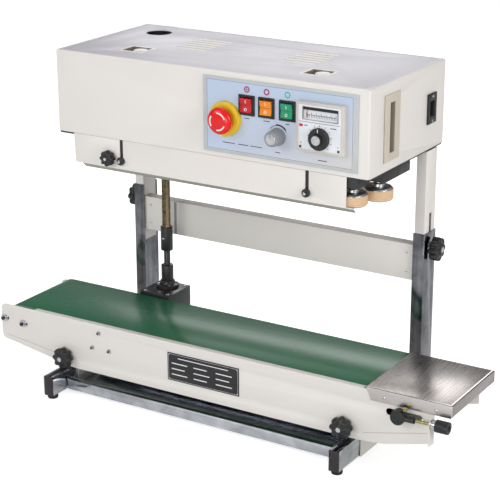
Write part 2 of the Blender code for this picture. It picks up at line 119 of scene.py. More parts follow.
def add_node(tree, kind, inputs=None, **settings):
    """Adds a shader node, sets its options, and sets or links its inputs."""
    made = tree.nodes.new("ShaderNode" + kind)
    for key, value in settings.items():
        setattr(made, key, value)
    for key, value in (inputs or {}).items():
        socket = made.inputs[key]
        if isinstance(value, bpy.types.NodeSocket):
            tree.links.new(value, socket)
        else:
            socket.default_value = value
    return made


def begin(name, metallic=0.0, roughness=0.5, **sockets):
    """A new material with its shader, and the piece's own coordinates in metres."""
    made = bpy.data.materials.new(name)
    made.use_nodes = True
    tree = made.node_tree
    shader = tree.nodes["Principled BSDF"]
    shader.inputs["Metallic"].default_value = metallic
    shader.inputs["Roughness"].default_value = roughness
    for key, value in sockets.items():
        shader.inputs[key.replace("_", " ")].default_value = value
    where = add_node(tree, "TexCoord").outputs["Object"]
    return made, tree, shader, where


def tint(tree, shader, factor, dark, light):
    """Lets a 0 to 1 pattern move the base colour between two near tones."""
    mix = add_node(tree, "Mix", {0: factor}, data_type="RGBA")
    mix.inputs[6].default_value = (*dark, 1.0)
    mix.inputs[7].default_value = (*light, 1.0)
    tree.links.new(mix.outputs[2], shader.inputs["Base Color"])


def vary(tree, shader, factor, low, high):
    """Lets a 0 to 1 pattern move the roughness."""
    spread = add_node(tree, "MapRange", {"Value": factor, "From Min": 0.3, "From Max": 0.7, "To Min": low,
                                         "To Max": high})
    tree.links.new(spread.outputs[0], shader.inputs["Roughness"])


def emboss(tree, shader, height, distance, strength=1.0):
    """Raises the surface by a pattern. The distance is its real height in metres."""
    bump = add_node(tree, "Bump", {"Height": height, "Distance": distance, "Strength": strength})
    tree.links.new(bump.outputs[0], shader.inputs["Normal"])


def noise(tree, where, scale, detail, **inputs):
    """A noise pattern over the piece's own coordinates."""
    return add_node(tree, "TexNoise", {"Vector": where, "Scale": scale, "Detail": detail, **inputs}).outputs[0]


def grain_along(tree, where, along, across_scale, along_scale):
    """The piece's coordinates, squeezed so that a noise of scale 1 runs in streaks along one axis."""
    scale = [across_scale] * 3
    scale["xyz".index(along)] = along_scale
    return add_node(tree, "Mapping", {"Vector": where, "Scale": scale}).outputs[0]


def calculate(tree, operation, *values):
    return add_node(tree, "Math", dict(enumerate(values)), operation=operation).outputs[0]


def shade(colour, amount):
    """A colour, given in hex or linear, made lighter or darker."""
    return tuple(min(1.0, c * amount) for c in (linear(colour) if isinstance(colour, str) else colour))


def mottled(name, dark, light, pattern, gloss, bump=None, **sockets):
    """Tone and shine drift between near values. The bump is a pattern with its height in metres and its strength."""
    made, tree, shader, where = begin(name, **sockets)
    cloud = noise(tree, where, *pattern)
    tint(tree, shader, cloud, dark, light)
    vary(tree, shader, cloud, *gloss)
    if bump:
        emboss(tree, shader, noise(tree, where, *bump[0]), *bump[1:])
    return made


def powder_coat(name, colour, gloss=0.38):
    """Polyester powder coat on sheet steel: satin, with a fine orange peel and hardly any change of tone."""
    # The real peel is about 0.6 mm across; it is drawn at 2 mm so that it shows.
    return mottled(name, shade(colour, 0.955), shade(colour, 1.015), (9.0, 3.0), (gloss, gloss + 0.10),
                   ((500.0, 1.0), 0.00005, 0.35), IOR=1.5)


def chrome_plate(name, along, dark="#525256", light="#8A8C90"):
    """Nickel-chrome on drawn steel tube: a mirror with faint drawing streaks along the tube, dulled by handling."""
    made, tree, shader, where = begin(name, metallic=1.0)
    smear = noise(tree, where, 24.0, 5.0, Distortion=0.8)
    streak = noise(tree, grain_along(tree, where, along, 170.0, 6.0), 1.0, 2.0)
    both = calculate(tree, "MULTIPLY_ADD", streak, 0.45, smear)
    spread = add_node(tree, "MapRange", {"Value": both, "From Min": 0.5, "From Max": 0.95}).outputs[0]
    tint(tree, shader, spread, linear(dark), linear(light))
    vary(tree, shader, smear, 0.08, 0.20)
    emboss(tree, shader, smear, 0.0002, 0.25)
    return made


def brushed_steel(name, colour, along, low=0.24, high=0.42):
    """Stainless sheet, belt-ground one way: fine scratches stretch the highlights across the grain."""
    made, tree, shader, where = begin(name, metallic=1.0)
    # A grain line is about 0.1 mm wide; it is drawn near 0.7 mm wide so that it shows.
    grain = noise(tree, grain_along(tree, where, along, 1400.0, 14.0), 1.0, 3.0)
    tint(tree, shader, grain, shade(colour, 0.90), shade(colour, 1.0))
    vary(tree, shader, grain, low, high)
    emboss(tree, shader, grain, 0.00002, 0.25)
    return made


def plated(name, dark, light, low=0.22, high=0.36):
    """Zinc plating or bare machined metal: small cloudy tones and a broken, soft shine."""
    return mottled(name, linear(dark), linear(light), (160.0, 3.0), (low, high), metallic=1.0)


def enamel(name, colour, low=0.30, high=0.45):
    """Stove enamel on steel: even and dark, with light dust in the roughness."""
    dust = (70.0, 5.0)
    return mottled(name, shade(colour, 1.0), shade(colour, 1.5), dust, (low, high), (dust, 0.0001, 0.2), IOR=1.5)


def moulded(name, colour, low=0.35, high=0.5, grain=0.00004):
    """Injection-moulded plastic: even colour, with a fine spark-eroded grain from the mould."""
    # The mould's grain is about 0.3 mm; it is drawn at 1 mm so that it shows.
    return mottled(name, shade(colour, 0.9), shade(colour, 1.08), (30.0, 2.0), (low, high),
                   ((1000.0, 2.0), grain, 0.5), IOR=1.49)


def belting(name, colour):
    """PVC conveyor belting: a smooth glossy cover that shows the weave under it as a faint grid."""
    made, tree, shader, where = begin(name, IOR=1.38)
    # The carcass has a thread every 1.2 mm, which is drawn at 2.5 mm so that it shows.
    threads = [add_node(tree, "TexWave", {"Vector": where, "Scale": 63.0, "Distortion": 0.6},
                        bands_direction=way).outputs[1] for way in ("X", "Y")]
    weave = calculate(tree, "MULTIPLY", threads[0], threads[1])
    wear = noise(tree, where, 7.0, 3.0)
    tint(tree, shader, wear, shade(colour, 0.92), shade(colour, 1.08))
    vary(tree, shader, wear, 0.25, 0.28)
    emboss(tree, shader, weave, 0.00003, 0.25)
    return made


def coated_cloth(name, colour):
    """PTFE-coated glass cloth: a plain weave under a waxy skin."""
    made, tree, shader, where = begin(name, IOR=1.35)
    # Glass cloth has a thread every 0.5 mm, which is drawn at 1.5 mm so that it shows.
    threads = [add_node(tree, "TexWave", {"Vector": where, "Scale": 105.0}, bands_direction=way).outputs[1]
               for way in ("DIAGONAL", "Z")]
    weave = calculate(tree, "ADD", threads[0], threads[1])
    tint(tree, shader, threads[1], shade(colour, 0.9), shade(colour, 1.06))
    vary(tree, shader, threads[0], 0.38, 0.5)
    emboss(tree, shader, weave, 0.0001, 0.5)
    return made


def printed_overlay(colour):
    """Screen-printed polycarbonate sheet: pale blue that fades to warm grey at its lower right."""
    made, tree, shader, where = begin("printed_polycarbonate_overlay", IOR=1.58)
    panel = span("control_panel")
    place = add_node(tree, "SeparateXYZ", {"Vector": where}).outputs
    across = add_node(tree, "MapRange", {"Value": place[0], "From Min": panel.x0 * MM, "From Max": panel.x1 * MM})
    up = add_node(tree, "MapRange", {"Value": place[2], "From Min": panel.z1 * MM, "From Max": panel.z0 * MM})
    fade = calculate(tree, "MULTIPLY", across.outputs[0], up.outputs[0])
    tint(tree, shader, fade, colour, linear("#D6D2CE"))
    speck = noise(tree, where, 900.0, 1.0)
    vary(tree, shader, speck, 0.30, 0.38)
    return made


def studio_floor():
    """Seamless white paper. Its own glow lifts it to white in the picture and adds no light to the object, except a
    weaker glow seen in reflections, a painted reflection of the bright paper in the shiny parts.
    """
    made, tree, shader, where = begin("studio_paper", roughness=0.9)
    fibre = noise(tree, where, 6.0, 4.0)
    tint(tree, shader, fibre, linear("#DEDEDE"), linear("#E2E2E2"))
    shader.inputs["Emission Color"].default_value = (1.0, 1.0, 1.0, 1.0)
    rays = add_node(tree, "LightPath").outputs
    # A weaker glow seen only by reflections: a painted reflection of the paper.
    mirrored = calculate(tree, "MULTIPLY", rays["Is Glossy Ray"], 0.22)
    glow = calculate(tree, "MULTIPLY_ADD", rays["Is Camera Ray"], 0.68, mirrored)
    tree.links.new(glow, shader.inputs["Emission Strength"])
    return made


def make_finishes(colours):
    """Every finish by its short name."""
    return dict(
        coat=powder_coat("cream_powder_coat", tuple(colours.coat)),
        # lid: the cream coat made greyer, painted shade for the head's top faces, cover and casing rim alike
        lid=powder_coat("top_shade_powder_coat", "#C3C0C5", 0.42),
        blade=powder_coat("pale_louvre_coat", "#EDE8E0", 0.45),
        # fold: a darker copy of the coat, painted shade for fold lines and the beam's top faces
        fold=powder_coat("shaded_fold_coat", "#B9B4AD", 0.5),
        # lip: a darker, greener copy of the coat, painted shade with a painted green reflection of the belt
        lip=powder_coat("shaded_lip_coat", "#A6A69B", 0.5),
        sand=moulded("sand_abs", "#CBC1B3", 0.35, 0.45),
        sand_dark=moulded("shaded_sand_abs", "#958C7C", 0.4, 0.5),
        # One chrome in lit and shaded copies: the columns' tones are darkened and the arm's and channel's lightened,
        # painting in the dark and bright reflections each shows.
        chrome=chrome_plate("bright_chrome_column", "z"),
        chrome_arm=chrome_plate("bright_chrome_arm", "y", "#A6A8AD", "#DADCDF"),
        chrome_channel=chrome_plate("bright_chrome_channel", "x", "#A6A9B0", "#D9DBE1"),
        stainless=brushed_steel("brushed_stainless_sheet", "#BDBAB6", "x"),
        # tray and hem: one brushed stainless in a darker and a lighter copy; the lighter hem copy is a painted
        # highlight, and the darker copy on the right flange is painted shade
        tray=brushed_steel("brushed_tray_sheet", "#A39D9A", "y", 0.22, 0.34),
        hem=brushed_steel("brushed_tray_hem_highlight", "#CFCAC7", "x", 0.26, 0.40),
        zinc=plated("yellow_zinc_plate", "#8E8350", "#B9AE74"),
        bright_zinc=plated("bright_zinc_plate", "#A9AAAC", "#DADBDC", 0.18, 0.3),
        gold_hex=plated("brass_finish_hex_bar", "#544836", "#786C54"),
        aluminium=plated("machined_aluminium", "#A8A8A8", "#CFCFCF", 0.28, 0.42),
        copper=plated("oxidised_copper", "#8A5238", "#B8714C", 0.3, 0.5),
        black_steel=enamel("black_stove_enamel", "#1B1B1D"),
        rail=enamel("black_cast_rail", "#232221", 0.4, 0.6),
        black=moulded("black_glass_filled_nylon", "#17181A"),
        bezel=moulded("black_polycarbonate_bezel", "#101113", 0.18, 0.28),
        cap=moulded("black_polypropylene_cap", "#241F24", 0.22, 0.32),
        rubber=moulded("black_rubber", "#161616", 0.6, 0.8, 0.0001),
        grey=moulded("grey_abs", "#8E9297", 0.28, 0.4),
        ivory=moulded("ivory_abs", "#CFCAC3", 0.3, 0.42),
        frame_grey=moulded("light_grey_abs_frame", "#BCC1C2", 0.35, 0.45),
        scale=moulded("white_scale_card", "#E3E6EC", 0.4, 0.5),
        ink=moulded("black_printing_ink", "#1A1B1E", 0.4, 0.5),
        mark=moulded("white_printing_ink", "#EDEDED", 0.4, 0.5),
        red_ink=moulded("red_printing_ink", "#C8302B", 0.4, 0.5),
        stop=moulded("red_abs_mushroom", tuple(colours.stop), 0.18, 0.28, 0.00001),
        collar=moulded("yellow_abs_collar", tuple(colours.collar), 0.3, 0.4),
        red=moulded("red_polycarbonate_rocker", "#C8191F", 0.15, 0.25, 0.00001),
        ring_red=moulded("magenta_printing_ink", "#A03458", 0.4, 0.5),
        ring_green=moulded("teal_printing_ink", "#4FB3A6", 0.4, 0.5),
        # pull: a dark grey-brown, painted shade inside the latch cups
        pull=moulded("latch_cup_shade", "#7B7270", 0.4, 0.5),
        amber=moulded("amber_polycarbonate_rocker", "#EF8A14", 0.15, 0.25, 0.00001),
        green=moulded("green_polycarbonate_rocker", "#0F9A6C", 0.15, 0.25, 0.00001),
        belt=belting("green_pvc_belting", tuple(colours.belt)),
        belt_edge=moulded("cut_belt_edge", "#8FA79A", 0.5, 0.6, 0.0001),
        band=coated_cloth("tan_ptfe_glass_cloth", tuple(colours.band)),
        overlay=printed_overlay(tuple(colours.overlay)),
        # shadow: a near-black that stands for painted shade in slots, creases and edge lines
        shadow=enamel("painted_shadow", "#0C0C0D", 0.6, 0.7),
    )


# ---------------------------------------------------------------- modelling

def span(node):
    """The limits and middle of a CAD node at rest, in millimetres."""
    low, high = (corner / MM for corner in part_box(node))
    middle = (low + high) / 2
    return SimpleNamespace(x0=low.x, x1=high.x, y0=low.y, y1=high.y, z0=low.z, z1=high.z, x=middle.x, y=middle.y,
                           z=middle.z)


def start_fresh():
    if bpy.context.mode != "OBJECT":
        bpy.ops.object.mode_set(mode="OBJECT")
    bpy.ops.object.select_all(action="DESELECT")


def settle(name, finish, body, nodes=(), angle=32.0):
    """Fixes the active piece in place, gives it its finish, and lets it ride on its body."""
    piece = bpy.context.object
    bpy.ops.object.transform_apply(location=True, rotation=True, scale=True)
    piece.name = name
    piece.data.name = name
    piece.data.materials.clear()
    piece.data.materials.append(finishes[finish])
    bpy.ops.object.shade_smooth_by_angle(angle=math.radians(angle))
    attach(piece, body)
    if nodes:
        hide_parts(*nodes)
    return piece


def apply_modifier(kind, **settings):
    piece = bpy.context.object
    modifier = piece.modifiers.new(kind.lower(), kind)
    for key, value in settings.items():
        setattr(modifier, key, value)
    bpy.ops.object.modifier_apply(modifier=modifier.name)


def round_edges(width, segments=2, angle=35.0):
    apply_modifier("BEVEL", width=width * MM, segments=segments, limit_method="ANGLE",
                   angle_limit=math.radians(angle), use_clamp_overlap=True)


def cube(x, y, z):
    """A plain box between three pairs of limits, standing at its middle."""
    start_fresh()
    bpy.ops.mesh.primitive_cube_add(size=1.0, location=[(a + b) / 2 * MM for a, b in (x, y, z)])
    bpy.context.object.scale = [abs(b - a) * MM for a, b in (x, y, z)]
    bpy.ops.object.transform_apply(location=False, rotation=False, scale=True)


def block(name, x, y, z, edge, finish, body, segments=2):
    """A small plate or block between three pairs of limits, with its edges rounded."""
    cube(x, y, z)
    round_edges(edge, segments)
    return settle(name, finish, body)


def tilted(name, centre, size, turn, edge, finish, body, axis="x"):
    """A small strip turned about one axis, such as a louvre blade or a mark on a rocker."""
    cube(*((c - s / 2, c + s / 2) for c, s in zip(centre, size)))
    round_edges(edge)
    bpy.context.object.rotation_euler["xyz".index(axis)] = math.radians(turn)
    return settle(name, finish, body)


def pierced(name, x, y, z, hole_x, hole_y, hole_z, edge, finish, body):
    """A plate or block with a square hole or pocket in it."""
    cube(x, y, z)
    punch(hole_x, hole_y, hole_z)
    round_edges(edge)
    return settle(name, finish, body)


def turned(name, place, axis, profile, finish, body, sides=40, lobes=0, lobe_depth=0.0, **settled):
    """A round piece grown ring by ring: the profile lists (radius, height) from base to tip."""
    start_fresh()
    profile = [(radius * MM, height * MM) for radius, height in profile]
    bpy.ops.mesh.primitive_circle_add(vertices=sides, radius=1.0, fill_type="NGON", location=(0, 0, 0))
    piece = bpy.context.object
    for vertex in piece.data.vertices:
        turn = math.atan2(vertex.co.y, vertex.co.x)
        wave = 1.0 - lobe_depth * (0.5 - 0.5 * math.cos(lobes * turn)) ** 1.4 if lobes else 1.0
        vertex.co.xy *= wave * profile[0][0]
        vertex.co.z = profile[0][1]
    bpy.ops.object.mode_set(mode="EDIT")
    bpy.ops.mesh.select_all(action="SELECT")
    for (last_r, last_h), (radius, height) in zip(profile, profile[1:]):
        bpy.ops.mesh.extrude_region_move(TRANSFORM_OT_translate={"value": (0, 0, height - last_h)})
        ratio = radius / last_r
        bpy.ops.transform.resize(value=(ratio, ratio, 1.0), center_override=(0.0, 0.0, height))
    face_outwards()
    piece.rotation_euler = TURNS[axis]
    piece.location = [c * MM for c in place]
    return settle(name, finish, body, **settled)


def face_outwards():
    """Turns every face of the piece in edit mode outwards, and leaves edit mode."""
    bpy.ops.mesh.select_all(action="SELECT")
    bpy.ops.mesh.normals_make_consistent(inside=False)
    bpy.ops.object.mode_set(mode="OBJECT")


def copy_of(node):
    """A working copy of a CAD node, merged and with its flat faces whole again."""
    start_fresh()
    source = frame["nodes"][node]
    source.select_set(True)
    bpy.context.view_layer.objects.active = source
    bpy.ops.object.duplicate()
    piece = bpy.context.object
    piece.parent = None
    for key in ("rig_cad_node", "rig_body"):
        if key in piece:
            del piece[key]
    bpy.ops.object.mode_set(mode="EDIT")
    bpy.ops.mesh.select_all(action="SELECT")
    bpy.ops.mesh.remove_doubles(threshold=0.01 * MM)
    bpy.ops.mesh.dissolve_limited(angle_limit=math.radians(0.4))
    bpy.ops.object.mode_set(mode="OBJECT")


def bevel_where(test, width, segments=4):
    """Rounds the edges of the active piece whose two ends both pass the test."""
    piece = bpy.context.object
    bpy.ops.object.mode_set(mode="EDIT")
    mesh = bmesh.from_edit_mesh(piece.data)
    for part in (*mesh.faces, *mesh.edges, *mesh.verts):
        part.select_set(False)
    for edge in mesh.edges:
        if len(edge.link_faces) == 2 and edge.calc_face_angle(0.0) > 0.6:
            a, b = (v.co / MM for v in edge.verts)
            edge.select_set(bool(test(a, b)))
    bmesh.update_edit_mesh(piece.data)
    bpy.ops.mesh.bevel(offset=width * MM, segments=segments, affect="EDGES", clamp_overlap=True)
    bpy.ops.object.mode_set(mode="OBJECT")


def dress(node, finish, edge=0.4, segments=2, big=None, big_width=0.0):
    """Stands a copy with broken edges in for a CAD node whose form is already right."""
    copy_of(node)
    if big:
        bevel_where(big, big_width)
    round_edges(edge, segments)
    return settle(node + "_finished", finish, frame["nodes"][node]["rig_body"], nodes=(node,))


def punch(x, y, z, round_hole=False):
    """Cuts a square or round hole through the active piece between three pairs of limits."""
    piece = bpy.context.object
    if round_hole:
        size = [abs(b - a) * MM for a, b in (x, y, z)]
        deep = size.index(max(size))
        bpy.ops.object.select_all(action="DESELECT")
        bpy.ops.mesh.primitive_cylinder_add(
            vertices=40, radius=min(size) / 2, depth=size[deep], rotation=TURNS["xyz"[deep]],
            location=[(a + b) / 2 * MM for a, b in (x, y, z)])
    else:
        cube(x, y, z)
    cutter = bpy.context.object
    bpy.context.view_layer.objects.active = piece
    apply_modifier("BOOLEAN", object=cutter, operation="DIFFERENCE")
    bpy.data.objects.remove(cutter)
    piece.select_set(True)


def arc(name, place, radii, turns, thickness, finish, body):
    """A flat ring sector that faces the front, such as a printed arc. The turns are its start and end in degrees."""
    start_fresh()
    bpy.ops.mesh.primitive_circle_add(vertices=72, radius=radii[1] * MM, fill_type="NOTHING")
    piece = bpy.context.object
    bpy.ops.object.mode_set(mode="EDIT")
    mesh = bmesh.from_edit_mesh(piece.data)
    for vertex in mesh.verts:
        turn = math.degrees(math.atan2(vertex.co.y, vertex.co.x)) % 360
        inside = turns[0] <= turn <= turns[1] or turns[0] <= turn - 360 <= turns[1]
        vertex.select_set(not inside)
    mesh.select_flush(True)
    bmesh.update_edit_mesh(piece.data)
    if any(v.select for v in mesh.verts):
        bpy.ops.mesh.delete(type="VERT")
    bpy.ops.mesh.select_all(action="SELECT")
    bpy.ops.mesh.extrude_region_move()
    ratio = radii[0] / radii[1]
    bpy.ops.transform.resize(value=(ratio, ratio, 1.0), center_override=(0.0, 0.0, 0.0))
    face_outwards()
    apply_modifier("SOLIDIFY", thickness=thickness * MM, offset=0.0)
    piece.rotation_euler = TURNS["-y"]
    piece.location = [c * MM for c in place]
    return settle(name, finish, body)


def slice_where(axis, level):
    """Adds an edge loop to the active piece at one level across it."""
    along = Vector([float(axis == letter) for letter in "xyz"])
    bpy.ops.object.mode_set(mode="EDIT")
    bpy.ops.mesh.select_all(action="SELECT")
    bpy.ops.mesh.bisect(plane_co=along * level * MM, plane_no=along)
    bpy.ops.object.mode_set(mode="OBJECT")


def paint_where(piece, finish, test):
    """Gives a second finish to the faces whose centre, in millimetres, and normal pass the test."""
    piece.data.materials.append(finishes[finish])
    spot = len(piece.data.materials) - 1
    for face in piece.data.polygons:
        if test(face.center / MM, face.normal):
            face.material_index = spot


def screw(name, place, axis, radius, finish, body):
    """A pan-head screw with a slot across its dome, drawn as a dark strip of painted shade."""
    height = radius * 0.6
    turned(name, place, axis, [(radius, 0.0), (radius, height * 0.35), (radius * 0.82, height * 0.8),
                               (radius * 0.45, height)], finish, body, sides=20)
    tip = list(place)
    spot = "xyz".index(axis[-1])
    tip[spot] += -height if axis[0] == "-" else height
    half = [radius * 0.6] * 3
    half[2 if spot != 2 else 1] = radius * 0.13
    half[spot] = 0.12
    block(name + "_slot", *[(c - h, c + h) for c, h in zip(tip, half)], 0.04, "shadow", body, 1)


def corners(x, y, inset):
    """The four corners of a rectangle, drawn inwards."""
    return [(a, b) for a in (x[0] + inset, x[1] - inset) for b in (y[0] + inset, y[1] - inset)]


# ---------------------------------------------------------------- operators

class SealerOperator:
    """What the operators share: one undo step each."""
    bl_options = {"REGISTER", "UNDO"}


class SEALER_OT_stage(SealerOperator, bpy.types.Operator):
    """Adds the floor, the studio lights, the surroundings and the camera, all placed in metres"""
    bl_idname = "sealer.stage"
    bl_label = "Stage"

    def execute(self, context):
        start_fresh()
        bpy.ops.mesh.primitive_plane_add(size=40.0, location=(0.0, 0.0, -0.0002))
        floor = context.object
        floor.name = "floor"
        floor.data.materials.append(studio_floor())
        for name, place, size, power, colour in (
                ("key_light", (-1.5, -2.7, 1.7), (1.8, 1.4), 30.0, "#FFFFFF"),
                ("side_light", (2.9, -0.7, 1.5), (1.4, 1.6), 44.0, "#FFFDF9"),
                ("front_light", (0.7, -3.2, 0.4), (1.6, 0.7), 23.0, "#FFFFFF"),
                ("top_light", (-0.2, 0.5, 2.8), (1.4, 1.4), 10.0, "#F4F6FF"),
                ("back_light", (-1.2, 2.4, 1.6), (1.5, 1.2), 18.0, "#FFFFFF")):
            bpy.ops.object.light_add(type="AREA", location=place)
            light = context.object
            light.name = name
            light.data.shape = "RECTANGLE"
            light.data.size, light.data.size_y = size
            light.data.energy = power
            light.data.color = linear(colour)
            aim = Vector((0.0, 0.0, 0.3)) - Vector(place)
            light.rotation_euler = aim.to_track_quat("-Z", "Y").to_euler()
        world = bpy.data.worlds.new("studio_surroundings")
        context.scene.world = world
        world.use_nodes = True
        tree = world.node_tree
        up = add_node(tree, "SeparateXYZ", {"Vector": add_node(tree, "TexCoord").outputs["Generated"]}).outputs[2]
        ramp = add_node(tree, "ValToRGB", {"Fac": up})
        stops = ramp.color_ramp.elements
        stops[0].position, stops[0].color = 0.0, (0.62, 0.62, 0.63, 1.0)
        stops[1].position, stops[1].color = 0.8, (0.55, 0.55, 0.57, 1.0)
        for position, level in ((0.10, 0.26), (0.30, 0.28), (0.42, 0.75), (0.55, 0.34)):
            stops.new(position).color = (level, level, level * 1.03, 1.0)
        # Beyond the paper's edge the surroundings are seen white too, so that the ground has no horizon.
        seen = add_node(tree, "LightPath").outputs["Is Camera Ray"]
        paper = add_node(tree, "Mix", {0: seen, 6: ramp.outputs[0]}, data_type="RGBA")
        paper.inputs[7].default_value = (1.3, 1.3, 1.3, 1.0)
        tree.links.new(paper.outputs[2], tree.nodes["Background"].inputs["Color"])
        tree.nodes["Background"].inputs["Strength"].default_value = 0.8
        context.scene.view_settings.view_transform = "Standard"
        bpy.ops.object.camera_add(location=(1.2562, -2.05895, 1.0905))
        camera = context.object
        camera.name = "studio_camera"
        look = Vector((-0.48914, 0.81050, -0.32223))
        camera.rotation_euler = look.to_track_quat("-Z", "Y").to_euler()
        camera.data.sensor_width = 36.0
        camera.data.lens = 113.5
        camera.data.shift_x = -0.01468
        camera.data.shift_y = -0.0020
        context.scene.camera = camera
        return {"FINISHED"}


class SEALER_OT_base(SealerOperator, bpy.types.Operator):
    """Finishes the arms, sleeves, feet, columns and the channel between the arms"""
    bl_idname = "sealer.base"
    bl_label = "Base"

    def execute(self, context):
        cap_depth = 3.0
        for side in SIDES:
            arm = span("arm_" + side)
            copy_of("arm_" + side)
            slice_where("y", arm.y0 + cap_depth)
            round_edges(0.5)
            piece = settle(f"arm_{side}_finished", "chrome_arm", "base", nodes=("arm_" + side,))
            paint_where(piece, "cap", lambda c, n: c.y < arm.y0 + cap_depth * 0.99)
            dress("arm_sleeve_" + side, "coat", 0.5)
            dress("column_" + side, "chrome", 0.5)
            for end in ("front", "rear"):
                foot = span(f"foot_{end}_{side}")
                radius, height = (foot.x1 - foot.x0) / 2, foot.z1 - foot.z0
                turned(f"foot_{end}_{side}_moulded", (foot.x, foot.y, 0.0), "z",
                       [(radius * 0.86, 0.0), (radius * 0.93, height * 0.06), (radius, height * 0.3),
                        (radius, height * 0.8), (radius * 0.93, height)], "rubber", "base", 32,
                       nodes=(f"foot_{end}_{side}",))
            dress("bracket_" + side, "black_steel", 0.4)
        dress("cross_channel", "chrome_channel", 0.5)
        return {"FINISHED"}


class SEALER_OT_conveyor(SealerOperator, bpy.types.Operator):
    """Finishes the conveyor: plates, belt, rollers, bed, plate screws and the blank data plate"""
    bl_idname = "sealer.conveyor"
    bl_label = "Conveyor"

    def execute(self, context):
        face = span("slider_bed").y0 - 2.3
        dress("conveyor_plate_front", "coat", 0.45)
        dress("conveyor_plate_rear", "coat", 0.45)
        dress("slider_bed", "stainless", 0.3)
        belt = dress("conveyor_belt", "belt", 0.4)
        paint_where(belt, "belt_edge", lambda c, n: abs(n.y) > 0.8)
        for node in ("roller_left", "roller_right"):
            dress(node, "stainless", 0.6)
        dress("drive_roller", "rubber", 0.6)
        # Each end bolt sits in a slot, drawn as a dark patch of painted shade.
        for i, (x, z) in enumerate(((-414.0, 110.6), (-374.0, 107.5))):
            block(f"end_slot_{i}", (x - 7, x + 9), (face - 0.08, face + 1), (z - 3, z + 3), 0.5, "shadow", "base")
            self.bolt(f"end_bolt_{i}", x, face, z, 6.4)
        for i, (x, z) in enumerate(((-215.0, 122.0), (-229.0, 94.0), (-195.0, 94.0))):
            self.bolt(f"plate_bolt_{i}", x, face, z, 3.7)
        # A black plate of painted shade fills the open gap between the front plate and the belt at the left end.
        belt_side = span("conveyor_belt").y0 - 0.6
        block("end_gap_shade_plate", (-414, -366), (face + 2.5, belt_side), (98, 122), 0.4, "black_steel", "base")
        # A thin strip in painted shade marks the fold along each sloping lower edge of the front plate.
        for name, x, z, long, turn in (("left", -351.0, 74.0, 121.0, 7.0), ("right", 330.0, 75.3, 110.0, -12.8)):
            tilted("plate_fold_shade_" + name, (x, face - 0.05, z), (long, 0.3, 0.9), turn, 0.05, "fold", "base", "y")
        self.data_plate(face)
        return {"FINISHED"}

    def bolt(self, name, x, face, z, radius):
        """A washer, a hexagon nut and the thread's end, standing off the front plate."""
        turned(name + "_washer", (x, face, z), "-y", [(radius * 1.05, 0.0), (radius * 1.05, 0.7), (radius, 0.9)],
               "bright_zinc", "base", 32)
        turned(name + "_nut", (x, face - 0.9, z), "-y", [(radius * 0.86, 0.0), (radius * 0.9, radius * 0.06),
               (radius * 0.9, radius * 0.5), (radius * 0.78, radius * 0.6)], "bright_zinc", "base", 6)
        turned(name + "_end", (x, face - 0.9 - radius * 0.55, z), "-y", [(radius * 0.48, 0.0),
               (radius * 0.48, radius * 0.4), (radius * 0.38, radius * 0.5)], "black_steel", "base", 24)

    def data_plate(self, face):
        """A black plate with a border and rows of blank fields, and no words."""
        x0, x1, z0, z1 = -78.0, 57.0, 71.0, 119.0
        block("data_plate", (x0, x1), (face - 0.8, face + 0.1), (z0, z1), 0.3, "ink", "base")
        front, line, inset = (face - 0.92, face - 0.7), 0.35, 2.0
        wide, tall = (x0 + inset, x1 - inset), (z0 + inset, z1 - inset)
        for name, x, z in (("top", wide, (tall[1] - line, tall[1])), ("bottom", wide, (tall[0], tall[0] + line)),
                           ("left", (wide[0], wide[0] + line), tall), ("right", (wide[1] - line, wide[1]), tall)):
            block("data_plate_line_" + name, x, front, z, 0.05, "mark", "base", 1)
        for row in range(3):
            z = z1 - (17.0 + 9.5 * row)
            for column in range(3):
                left = x0 + (8.0 + 42.0 * column)
                block(f"data_plate_field_{row}_{column}", (left, left + (30.0 - 5.0 * ((row + column) % 2))),
                      front, (z - 1.3, z + 0.3), 0.05, "mark", "base", 1)
        block("data_plate_heading", (x0 + 20, x1 - 20), front, (z1 - 8.5, z1 - 7.2), 0.05, "mark", "base", 1)
        for i, (x, z) in enumerate(corners((x0, x1), (z0, z1), 3.2)):
            turned(f"data_plate_rivet_{i}", (x, face - 0.8, z), "-y", [(1.3, 0.0), (1.1, 0.4), (0.5, 0.6)],
                   "bright_zinc", "base", 14)


